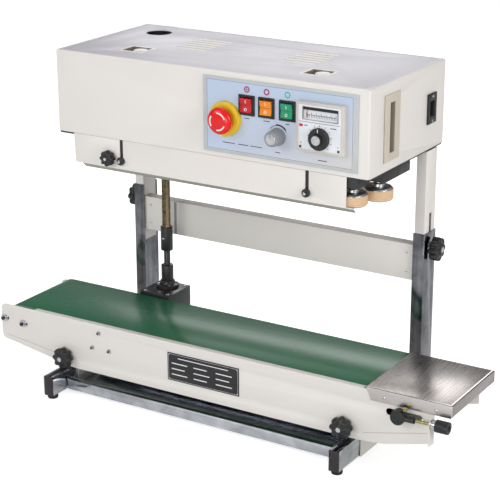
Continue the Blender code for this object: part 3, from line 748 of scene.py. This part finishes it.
class SEALER_OT_takeup(SealerOperator, bpy.types.Operator):
    """Finishes the right end: tray, take-up block, tension screw, grip and washers"""
    bl_idname = "sealer.takeup"
    bl_label = "Tray and take-up"

    def execute(self, context):
        tray = span("side_tray")
        near = 0.05

        def outer(a, b):
            top = a.z > tray.z1 - near and b.z > tray.z1 - near
            end = a.x > tray.x1 - near and b.x > tray.x1 - near
            front = a.y < tray.y0 + near and b.y < tray.y0 + near
            return (top and (front or end)) or (end and front)
        top = dress("side_tray", "hem", 0.3, big=outer, big_width=1.1)
        # The top and the right flange take the darker copy, which on the right flange is painted shade; the hem and
        # front keep the lighter copy, a painted highlight.
        paint_where(top, "tray", lambda c, n: (n.z > 0.98 and c.z > tray.z1 - 0.2) or n.x > 0.9)
        skin = (tray.z1 - 0.1, tray.z1 + 0.12)
        # Along the front and right edges of the top: a dark line of painted shadow at the hem, then a light band of
        # painted highlight inside it.
        for name, near_edge, far_edge, finish in (("line", 1.3, 2.3, "shadow"), ("band", 2.3, 4.6, "hem")):
            near_edge, far_edge = near_edge, far_edge
            block(f"tray_{name}_front", (tray.x0 + 1, tray.x1 - near_edge),
                  (tray.y0 + near_edge, tray.y0 + far_edge), skin, 0.05, finish, "base", 1)
            block(f"tray_{name}_right", (tray.x1 - far_edge, tray.x1 - near_edge),
                  (tray.y0 + far_edge, tray.y1 - 1), skin, 0.05, finish, "base", 1)
        for i, x in enumerate((tray.x0 + 30, tray.x1 - 26)):
            screw(f"tray_screw_{i}", (x, tray.y0, tray.z0 + 8), "-y", 2.6, "bright_zinc", "base")
        dress("takeup_block", "black", 0.6)
        bar = span("tension_screw")
        screw_bar = dress("tension_screw", "zinc", 0.2)
        paint_where(screw_bar, "black", lambda c, n: c.x > bar.x1 - 20.0)
        plate = span("conveyor_plate_front")
        turned("tension_grip", (bar.x1 - 19.5, bar.y, bar.z), "x",
               [(8.6, 0.0), (9.5, 1.2), (9.5, 17), (8.4, 19), (5.2, 19.5)], "black", "tension_screw", 96, 24, 0.07)
        for i, (x, radius, thick) in enumerate(((plate.x1 + 0.2, 9.0, 1.2), (plate.x1 + 1.8, 7.8, 6.0))):
            turned(f"tension_washer_{i}", (x, bar.y, bar.z), "x",
                   [(radius * 0.94, 0.0), (radius, 0.25), (radius, (thick - 0.25)), (radius * 0.94, thick)],
                   "bright_zinc", "tension_screw", 40)
        end = span("takeup_block")
        turned("axle_cap", (span("roller_right").x, end.y0 + 0.2, end.z), "-y",
               [(6.0, 0.0), (6.0, 0.05), (5.0, 0.18)], "bright_zinc", "takeup", 6)
        turned("lock_nut", (end.x + 2, end.y, end.z1 + 0.1), "z", [(4.2, 0.0), (4.6, 0.5), (4.6, 3.6), (4.0, 4.2)],
               "zinc", "takeup", 6)
        return {"FINISHED"}


class SEALER_OT_drive(SealerOperator, bpy.types.Operator):
    """Finishes the gearbox and the two telescoping shafts"""
    bl_idname = "sealer.drive"
    bl_label = "Upright drive"

    def execute(self, context):
        dress("gearbox_housing", "black_steel", 1.2, 3)
        box = span("gearbox_housing")
        for i, (x, y) in enumerate(corners((box.x0, box.x1), (box.y0, box.y1), 7.0)):
            screw(f"gearbox_screw_{i}", (x, y, box.z1), "z", 3.0, "bright_zinc", "base")
        dress("lower_shaft", "black_steel", 0.5)
        shaft = span("lower_shaft")
        turned("gearbox_flange", (shaft.x, shaft.y, box.z1), "z",
               [(19.5, 0.0), (20.0, 0.5), (20.0, 4.5), (19.2, 5.2),
                (13.5, 6.2), (12.5, 12.0), (11.5, 12.8)], "black_steel", "base")
        for i in range(4):
            turn = math.radians(45 + 90 * i)
            turned(f"flange_bolt_{i}", (shaft.x + 16 * math.cos(turn), shaft.y + 16 * math.sin(turn), box.z1 + 5.0),
                   "z", [(2.7, 0.0), (2.7, 2.4), (2.2, 2.8)], "bright_zinc", "base", 6)
        upper, collar = span("upper_shaft"), 42.0
        copy_of("upper_shaft")
        slice_where("z", upper.z0 + collar)
        round_edges(0.4)
        piece = settle("upper_shaft_finished", "gold_hex", "upper_shaft", nodes=("upper_shaft",))
        paint_where(piece, "black_steel", lambda c, n: c.z < upper.z0 + collar + 0.2)
        screw("collar_screw", (upper.x, upper.y0, upper.z0 + 22), "-y", 2.6, "bright_zinc", "upper_shaft")
        return {"FINISHED"}


class SEALER_OT_lift(SealerOperator, bpy.types.Operator):
    """Finishes what the head hangs on: inner columns, cross beam, base plate and rails"""
    bl_idname = "sealer.lift"
    bl_label = "Lift frame"

    def execute(self, context):
        for side in SIDES:
            dress("inner_column_" + side, "coat", 0.8, 3)
        beam = span("cross_beam")
        channel = dress("cross_beam", "coat", 0.5)
        # The beam's top faces take the darker coat: painted shade on the top flange.
        paint_where(channel, "fold", lambda c, n: n.z > 0.9 and c.z > beam.z1 - 1)
        # A grey strip of painted shade marks the step at the edge of the bracket plate at the beam's left end.
        block("beam_bracket_edge_shade", (beam.x0 + 62, beam.x0 + 67), (beam.y0 - 0.25, beam.y0 + 0.1),
              (beam.z0 + 1, beam.z1 - 1), 0.1, "grey", "lift", 1)
        for i, x in enumerate((beam.x0 + 12, beam.x1 - 12)):
            for j, z in enumerate((beam.z0 + 14, beam.z1 - 14)):
                screw(f"beam_screw_{i}_{j}", (x, beam.y0, z), "-y", 3.0, "coat", "lift")
        dress("base_plate", "black_steel", 0.3)
        dress("rail_front", "rail", 0.8)
        dress("rail_rear", "rail", 0.8)
        dress("drive_motor", "aluminium", 0.8)
        return {"FINISHED"}


class SEALER_OT_head(SealerOperator, bpy.types.Operator):
    """Finishes the head: folded casing, inset cover, carrying handle and mains inlet"""
    bl_idname = "sealer.head"
    bl_label = "Head"

    def execute(self, context):
        casing = span("head_casing")
        near = 0.05

        def outer(a, b):
            planes = 0
            for axis, limits in enumerate(((casing.x0, casing.x1), (casing.y0, casing.y1), (casing.z1, casing.z1))):
                planes += any(abs(a[axis] - v) < near and abs(b[axis] - v) < near for v in limits)
            return planes >= 2
        shell = dress("head_casing", "coat", 0.3, big=outer, big_width=context.scene.sealer_sizes.casing_edge / MM)
        # The casing's top faces and the cover take the greyer coat: painted shade on the head's top.
        paint_where(shell, "lid", lambda c, n: n.z > 0.95 and c.z > casing.z1 - 2.5)
        dress("top_cover", "lid", 0.25)
        lid = span("top_cover")
        pierced("cover_seam", (lid.x0 - 0.2, lid.x1 + 0.2), (lid.y0 - 0.2, lid.y1 + 0.2), (lid.z1 - 0.3, lid.z1 + 0.06),
                (lid.x0 + 0.9, lid.x1 - 0.9), (lid.y0 + 0.9, lid.y1 - 0.9), (lid.z1 - 5, lid.z1 + 5), 0.02, "grey",
                "lift")
        self.louvres(lid)
        for i, x in enumerate(LATCH_X):
            self.latch(i, x, lid)
        for i, (x, y) in enumerate(corners((lid.x0, lid.x1), (lid.y0, lid.y1), 9.0)):
            screw(f"cover_screw_{i}", (x, y, lid.z1 - 1.5), "z", 2.4, "bright_zinc", "lift")
        cup = dress("handle_cup", "sand", 0.6, 3)
        # The cup's faces set back inside the casing take the darker sand: painted shade in the recess.
        paint_where(cup, "sand_dark", lambda c, n: c.x < casing.x1 - 1.0)
        dress("mains_inlet", "black", 0.8, 3)
        inlet = span("mains_inlet")
        for i, z in enumerate((inlet.z0 + 4.5, inlet.z1 - 4.5)):
            screw(f"inlet_screw_{i}", (inlet.x1, inlet.y, z), "x", 2.4, "bright_zinc", "lift")
        return {"FINISHED"}

    def louvres(self, lid):
        """A sloping blade in each slot of the cover, so that the slots read as two banks of louvres."""
        for bank, x in enumerate(VENT_X):
            for row in range(6):
                y = VENT_Y + VENT_STEP * row
                tilted(f"louvre_{bank}_{row}", (x, y + 1.1, lid.z1 - 1.6), (58.0, 4.4, 0.7), 33.0, 0.2, "blade", "lift")
                block(f"louvre_lip_{bank}_{row}", (x - 30, x + 30), (y - 8.4, y - 3.3),
                      (lid.z1 - 0.1, lid.z1 + 0.36), 0.2, "blade", "lift", 1)

    def latch(self, i, x, lid):
        """A flush pull in the cover: a bright rim, a cup darkened with painted shade and a round paddle at its back."""
        mouth_x, mouth_y = (x - 17.5, x + 17.5), (-38.7, -7.7)
        rim_z = (lid.z1 + 0.02, lid.z1 + 0.36)
        pierced(f"latch_rim_{i}", (x - 23.5, x + 23.5), (-45.0, -1.5), rim_z, (x - 19.0, x + 19.0), (-40.3, -6.2),
                (lid.z1 - 5, lid.z1 + 5), 0.12, "blade", "lift")
        # The cup is darkened with painted shade.
        pierced(f"latch_cup_{i}", (x - 19.6, x + 19.6), (-40.9, -5.6), (lid.z1 - 10.0, lid.z1 - 0.1), mouth_x, mouth_y,
                (lid.z1 - 8.5, lid.z1 + 5), 0.3, "pull", "lift")
        turned(f"latch_paddle_{i}", (x + 4.5, -20.0, lid.z1 - 5.4), "z",
               [(11.4, 0.0), (12.0, 0.6), (12.0, 3.2), (11.0, 4.3), (8.0, 4.8)], "coat", "lift", 40)


class SEALER_OT_controls(SealerOperator, bpy.types.Operator):
    """Builds the control panel: overlay, stop button, rockers, speed knob and temperature controller"""
    bl_idname = "sealer.controls"
    bl_label = "Controls"

    def execute(self, context):
        panel = span("control_panel")
        face = span("head_casing").y0 - 2.0
        stop = span("estop_button")
        rockers = {name: span("rocker_" + name) for name in ("power", "heater", "fan")}
        board = dress("control_panel", "frame_grey", 0.5)
        proud, collar_radius = 0.2, 28.0
        paint_where(board, "collar", lambda c, n: c.y < face - proud and abs(c.x - stop.x) < collar_radius
                    and abs(c.z - stop.z) < collar_radius)
        paint_where(board, "bezel", lambda c, n: c.y < face - proud and c.x > rockers["power"].x - 15
                    and math.hypot(c.x - stop.x, c.z - stop.z) > collar_radius)
        self.overlay(panel, face, stop, rockers)
        self.stop_button(stop)
        for (name, place), finish in zip(rockers.items(), ("red", "amber", "green")):
            dress("rocker_" + name, finish, 0.7, 3)
            body = "rocker_" + name
            tilted(body + "_on_mark", (place.x, face - 5.15, place.z + 6), (1.1, 0.4, 5.0), 17.2, 0.1, "mark", body)
            arc(body + "_off_mark", (place.x, face - 4.45, place.z - 6), (1.5, 2.3), (0, 360), 1.1, "mark", body)
            # A dark line of painted shade in the crease across the rocker.
            tilted(body + "_crease", (place.x, face - 3.25, place.z), (19.0, 0.3, 0.5), 0.0, 0.05, "shadow", body)
        for (name, place), finish in zip(rockers.items(), ("ring_red", "ring_red", "ring_green")):
            arc(f"indicator_ring_{name}", (place.x, face - 0.5, place.z + 24),
                (2.9, 5.0), (0, 360), 0.12, finish, "lift")
        lamp = rockers["power"]
        turned("indicator_centre", (lamp.x, face - 0.42, lamp.z + 24), "-y",
               [(1.4, 0.0), (1.4, 0.14)], "ring_red", "lift", 24)
        self.speed(span("speed_knob"), face)
        self.temperature(span("temperature_controller"), span("temperature_knob"))
        return {"FINISHED"}

    def overlay(self, panel, face, stop, rockers):
        """The printed sheet with its holes, the line round it, and a plain bar for each caption."""
        x, z = (panel.x0 + 6.5, panel.x1 - 7.5), (panel.z0 + 4.5, panel.z1 - 3.8)
        cube(x, (face - 0.4, face), z)
        bevel_where(lambda a, b: abs(a.x - b.x) < 0.01 and abs(a.z - b.z) < 0.01, 2.0)
        deep, hole = (face - 5, face + 5), 27.2
        punch((stop.x - hole, stop.x + hole), (face - 60, face + 60), (stop.z - hole, stop.z + hole), round_hole=True)
        for place in rockers.values():
            punch((place.x - 13.9, place.x + 13.9), deep, (place.z - 15.7, place.z + 15.7))
        settle("panel_overlay", "overlay", "lift")
        line, out = 0.8, (face - 0.48, face - 0.3)
        pierced("overlay_line", (x[0] + line, x[1] - line), out, (z[0] + line, z[1] - line),
                (x[0] + 2 * line, x[1] - 2 * line), deep, (z[0] + 2 * line, z[1] - 2 * line), 0.02, "grey", "lift")
        for i, (bar_x, bar_z, long) in enumerate(((50.5, 512.5, 9.0), (85.0, 512.5, 11.0), (121.0, 512.5, 6.0),
                                                  (104.5, 467.0, 9.0), (181.0, 465.0, 15.0), (18.0, 470.5, 22.0),
                                                  (44.0, 470.5, 18.0), (67.0, 470.5, 20.0))):
            block(f"caption_bar_{i}", (bar_x - long / 2, bar_x + long / 2), out,
                  (bar_z - 0.6, bar_z + 0.6), 0.05, "ink", "lift", 1)

    def stop_button(self, stop):
        """The mushroom head and the three arrows round it."""
        base = span("head_casing").y0 - 2.0
        profile = [(8.0, 1.0), (8.0, 11.8), (13.0, 12.6), (18.8, 14.6), (20.4, 16.2), (21.0, 18.4), (20.4, 21.0),
                   (18.2, 23.4), (14.6, 25.0), (9.0, 25.8), (3.0, 26.0)]
        turned("stop_mushroom", (stop.x, base, stop.z), "-y", profile, "stop",
               "estop_button", 56, nodes=("estop_button",))
        for i, start in enumerate((20, 140, 260)):
            arc(f"stop_arrow_{i}", (stop.x, stop.y0 + 0.75, stop.z), (12.2, 14.2),
                (start, start + 78), 0.9, "mark", "estop_button")

    def speed(self, knob, face):
        """The fluted knob, its bright cap and pointer, and the printed wedge round it."""
        profile = [(13.9, 0.3), (13.9, 2.6), (12.6, 4.2), (12.0, 19.5), (11.2, 21.6), (9.8, 22.7)]
        turned("speed_knob_fluted", (knob.x, face, knob.z), "-y", profile,
               "grey", "speed_knob", 120, 24, 0.06, nodes=("speed_knob",))
        turned("speed_knob_cap", (knob.x, face - 22.6, knob.z), "-y",
               [(8.2, 0.0), (8.0, 0.3), (7.0, 0.38)], "bright_zinc", "speed_knob", 40)
        block("speed_pointer", (knob.x - 0.5, knob.x + 0.5), (face - 23.0, face - 22.7),
              (knob.z + 1, knob.z + 8), 0.08, "ink", "speed_knob", 1)
        for i, (radii, turns) in enumerate((((16.6, 17.5), (30, 140)), ((16.6, 19.0), (38, 104)))):
            arc(f"speed_scale_{i}", (knob.x, face - 0.48, knob.z), radii, turns, 0.12, "ink", "lift")

    def ticks(self, centre, low, high, count):
        """Short lines round the dial, over three quarters of a turn."""
        for i in range(count):
            turn = math.radians(225 - 270 * i / (count - 1))
            start_fresh()
            reach = (low + high) / 2
            place = Vector((centre[0] + reach * math.cos(turn), centre[1], centre[2] + reach * math.sin(turn)))
            bpy.ops.mesh.primitive_cube_add(size=1.0, location=place * MM, rotation=(0.0, -turn, 0.0))
            bpy.context.object.scale = Vector((high - low, 0.12, 0.7)) * MM
            round_edges(0.02, 1)
            settle(f"dial_tick_{i}", "ink", "lift")

    def temperature(self, meter, knob):
        """The controller: a sunk meter with its scale, printed marks and the dial."""
        dress("temperature_controller", "ivory", 1.0, 3)
        window_x, window_z = (153.2, 210.4), (527.2, 545.3)
        through = (meter.y0 - 5, meter.y0 + 2.5)
        pierced("meter_face", (meter.x0 + 4.5, meter.x1 - 4.5), (meter.y0 - 0.25, meter.y0 + 0.3),
                (meter.z0 + 4.5, meter.z1 - 4.0), window_x, through, window_z, 0.1, "scale", "lift")
        # A dark border of painted shade round the sunk window, widest at the top where the shade falls.
        rim = 1.2
        pierced("meter_rim_shade", (window_x[0] - rim, window_x[1] + rim), (meter.y0 - 0.42, meter.y0 + 0.1),
                (window_z[0] - 0.4, window_z[1] + rim), window_x, through, window_z, 0.1, "bezel", "lift")
        back = meter.y0 + 3.0
        block("meter_card", window_x, (back - 0.5, back), window_z, 0.1, "scale", "lift", 1)
        # A dark block of painted shadow on the window's top inside wall.
        block("meter_shade", window_x, (meter.y0 + 0.2, back), (window_z[1] - 3.6, window_z[1]), 0.1,
              "bezel", "lift", 1)
        base, steps = window_z[0] + 3.0, 19
        for i in range(steps):
            x = window_x[0] + (4.0 + 49.2 * i / (steps - 1))
            tall = 7.6 if i % 3 == 0 else 4.6
            block(f"meter_tick_{i}", (x - 0.3, x + 0.3), (back - 0.65, back - 0.4),
                  (base, base + tall), 0.03, "ink", "lift", 1)
        block("meter_line", (window_x[0] + 3.6, window_x[1] - 3.6), (back - 0.65, back - 0.4),
              (base + 3.6, base + 4.2), 0.03, "ink", "lift", 1)
        block("meter_needle", (window_x[0] + 5.0, window_x[0] + 5.9), (back - 1.4, back - 1.0),
              (window_z[0] + 1.5, window_z[1] - 3.0), 0.05, "red_ink", "lift", 1)
        skin = (meter.y0 - 0.36, meter.y0 - 0.2)
        for name, x, z, half, finish in (
                ("divider", meter.x, 523.6, (34.0, 0.3), "ink"), ("label", 149.6, 518.0, (3.2, 2.0), "red_ink"),
                ("adjuster_left", 148.6, 485.4, (1.9, 1.9), "ink"),
                ("adjuster_right", 212.4, 485.4, (1.9, 1.9), "ink"),
                ("light_left", 149.6, 491.5, (0.9, 0.9), "red_ink"),
                ("light_right", 211.6, 491.5, (0.9, 0.9), "ring_green"),
                ("caption_left", 158.0, 518.4, (3.0, 0.6), "ink"),
                ("caption_right", 203.5, 518.4, (5.0, 0.6), "ink")):
            block("meter_" + name, (x - half[0], x + half[0]), skin, (z - half[1], z + half[1]),
                  0.05, finish, "lift", 1)
        self.ticks((knob.x, meter.y0 - 0.3, knob.z), 18.2, 21.0, 11)
        profile = [(16.9, 0.3), (16.9, 5.6), (16.0, 6.9), (10.0, 7.2), (9.4, 7.8), (9.0, 12.2), (8.2, 12.9)]
        turned("temperature_knob_moulded", (knob.x, meter.y0, knob.z), "-y", profile,
               "black", "temperature_knob", 112, 28, 0.035, nodes=("temperature_knob",))
        turned("temperature_knob_cap", (knob.x, meter.y0 - 12.7, knob.z), "-y", [(7.4, 0.0), (7.2, 0.22), (6.4, 0.3)],
               "bright_zinc", "temperature_knob", 40)
        block("temperature_pointer", (knob.x - 0.6, knob.x + 0.6), (meter.y0 - 7.2, meter.y0 - 6.8),
              (knob.z + 10.2, knob.z + 15.6), 0.08, "mark", "temperature_knob", 1)


class SEALER_OT_guard(SealerOperator, bpy.types.Operator):
    """Finishes the front guard and the knurled nuts that hold it"""
    bl_idname = "sealer.guard"
    bl_label = "Front guard"

    def execute(self, context):
        guard = dress("front_guard", "coat", 0.35)
        # The guard's lower lip takes the darker, greener coat: painted shade with a painted green reflection of the
        # belt.
        low = span("front_guard").z0 + 7.2
        paint_where(guard, "lip", lambda c, n: c.z < low)
        face = span("head_casing").y0
        for i, x in enumerate(GUARD_POSTS):
            place = (x, face - 0.25, POST_Z)
            profile = [(6.3, 0.0), (6.6, 0.3), (6.6, 4.3), (6.2, 4.85), (3.2, 4.95)]
            turned(f"guard_nut_{i}", place, "-y", profile, "rail", "lift", 90, 30, 0.05)
            turned(f"guard_stud_{i}", (x, face - 4.9, POST_Z), "-y",
                   [(2.8, 0.0), (2.8, 3.8), (2.2, 4.15)], "bright_zinc", "lift", 24)
        return {"FINISHED"}


class SEALER_OT_sealing(SealerOperator, bpy.types.Operator):
    """Finishes the band wheels, the sealing bands and the heating blocks"""
    bl_idname = "sealer.sealing"
    bl_label = "Sealing bands"

    def execute(self, context):
        for group in ("front", "rear"):
            for side in SIDES:
                node = f"band_wheel_{group}_{side}"
                dress(node, "aluminium", 0.6, 3)
                wheel = span(node)
                turned(node + "_screw", (wheel.x, wheel.y, wheel.z0 + 0.1), "-z",
                       [(4.6, 0.0), (4.6, 0.05), (3.6, 0.1)], "black_steel", node, 6)
            dress("seal_band_" + group, "band", 0.15, 1)
            dress("heater_block_" + group, "copper", 0.6)
        return {"FINISHED"}


class SEALER_OT_knobs(SealerOperator, bpy.types.Operator):
    """Builds the lobed clamp knobs"""
    bl_idname = "sealer.knobs"
    bl_label = "Clamp knobs"

    def execute(self, context):
        lobes = context.scene.sealer_sizes.knob_lobes
        for side, axis in (("left", "-x"), ("right", "x")):
            self.knob("column_knob_" + side, axis, 18.0, lobes)
            self.knob("conveyor_knob_" + side, "-y", 17.0, lobes)
        self.knob("guard_knob", "-y", 13.0, lobes)
        return {"FINISHED"}

    def knob(self, node, axis, height, lobes):
        """The grip with its dished face and steel insert, and the threaded stud behind it."""
        box = span(node)
        radius = (box.z1 - box.z0) / 2
        limits = {"x": (box.x0, box.x1), "y": (box.y0, box.y1)}[axis[-1]]
        outward = -1.0 if axis[0] == "-" else 1.0
        tip = limits[0] if outward < 0 else limits[1]
        spot = "xyz".index(axis[-1])
        back = [box.x, box.y, box.z]
        back[spot] = tip - outward * height
        profile = [(0.60, 0.0), (0.88, 0.02), (0.97, 0.10), (1.0, 0.22), (1.0, 0.62), (0.95, 0.76), (0.84, 0.83),
                   (0.62, 0.85), (0.50, 0.88), (0.46, 0.97), (0.40, 0.995)]
        turned(node + "_grip", back, axis, [(r * radius, h * height) for r, h in profile], "black", node, 96,
               lobes, 0.2, nodes=(node,), angle=50.0)
        cap = list(back)
        cap[spot] = tip - outward * 0.25
        turned(node + "_insert", cap, axis, [(0.24 * radius, 0.0), (0.23 * radius, 0.15), (0.15 * radius, 0.24)],
               "bright_zinc", node, 28)
        stud = list(back)
        stud[spot] = limits[1] if outward < 0 else limits[0]
        length = abs(stud[spot] - back[spot]) + 1.0
        turned(node + "_stud", stud, axis, [(3.2, 0.0), (3.6, 0.5), (3.6, length)], "bright_zinc", node, 24)


OPERATORS = (SEALER_OT_stage, SEALER_OT_base, SEALER_OT_conveyor, SEALER_OT_takeup, SEALER_OT_drive, SEALER_OT_lift,
             SEALER_OT_head, SEALER_OT_controls, SEALER_OT_guard, SEALER_OT_sealing, SEALER_OT_knobs)


class SEALER_PT_panel(bpy.types.Panel):
    """Lists the sealer's steps and settings"""
    bl_idname = "SEALER_PT_panel"
    bl_label = "Band Sealer"
    bl_space_type = "VIEW_3D"
    bl_region_type = "UI"
    bl_category = "Band Sealer"

    def draw(self, context):
        for group in (context.scene.sealer_colours, context.scene.sealer_sizes):
            for key in group.bl_rna.properties.keys():
                if key not in ("rna_type", "name"):
                    self.layout.prop(group, key)
        for operator in OPERATORS:
            self.layout.operator(operator.bl_idname)


CLASSES = (SealerColours, SealerSizes, *OPERATORS, SEALER_PT_panel)
finishes = None


def register():
    for each in CLASSES:
        bpy.utils.register_class(each)
    bpy.types.Scene.sealer_colours = bpy.props.PointerProperty(type=SealerColours)
    bpy.types.Scene.sealer_sizes = bpy.props.PointerProperty(type=SealerSizes)


def unregister():
    del bpy.types.Scene.sealer_sizes
    del bpy.types.Scene.sealer_colours
    for each in reversed(CLASSES):
        bpy.utils.unregister_class(each)


def main():
    global finishes
    register()
    finishes = make_finishes(bpy.context.scene.sealer_colours)
    for operator in OPERATORS:
        group, name = operator.bl_idname.split(".")
        if "FINISHED" not in getattr(getattr(bpy.ops, group), name)():
            raise RuntimeError(operator.bl_label + " did not finish")


if __name__ == "__main__":
    main()
